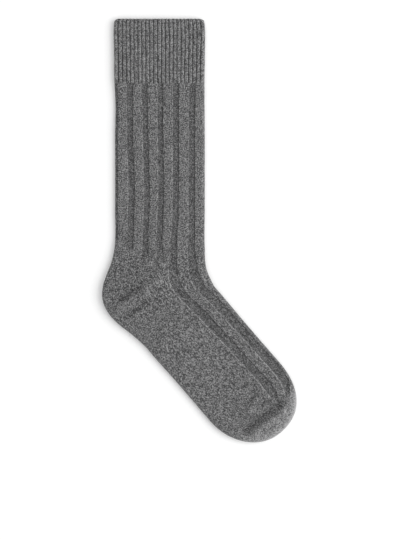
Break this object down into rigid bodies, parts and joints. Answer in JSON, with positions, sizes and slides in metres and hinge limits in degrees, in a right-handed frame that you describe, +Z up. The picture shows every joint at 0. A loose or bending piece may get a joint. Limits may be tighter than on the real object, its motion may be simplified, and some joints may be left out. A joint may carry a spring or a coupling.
{
  "type": "boot sock",
  "caption": "Wide-ribbed knitted boot sock in heathered grey, laid flat on its side, with a fine-rib cuff, a turned heel and a plain toe.",
  "frame": {"origin": "middle of the sock's box, on the surface that it lies on", "axes": "+Z up from the surface, +Y along the leg towards the cuff, +X towards the side that the toe points to"},
  "size_m": [0.2039, 0.4443, 0.0094],
  "materials": {
    "wool_knit": "heathered mid-grey wool-blend knit, matt with a short fuzz"
  },
  "bodies": {
    "root": {"cuff": "wool_knit", "leg": "wool_knit", "heel": "wool_knit", "foot": "wool_knit", "toe": "wool_knit"}
  },
  "joints": []
}
